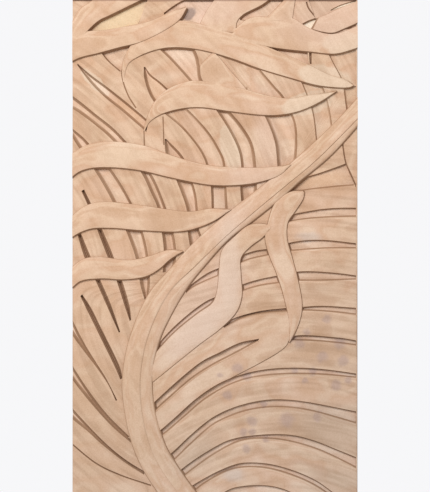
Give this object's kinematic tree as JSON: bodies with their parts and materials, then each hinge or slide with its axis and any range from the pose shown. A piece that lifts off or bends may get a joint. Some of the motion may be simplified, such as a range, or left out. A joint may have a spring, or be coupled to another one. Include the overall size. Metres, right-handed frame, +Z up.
{
  "type": "stone relief panel",
  "caption": "Flat upright sandstone wall panel, carved on its face in low relief with overlapping palm fronds and crossing leaves.",
  "frame": {"origin": "the middle of the panel's flat back", "axes": "+Z up along the panel's height, +X to the right as the carved face is seen, the carved face looks along -Y"},
  "size_m": [0.57, 0.03, 1],
  "materials": {
    "sandstone": "honed, matt"
  },
  "bodies": {
    "root": {"relief_panel": "sandstone"}
  },
  "joints": []
}
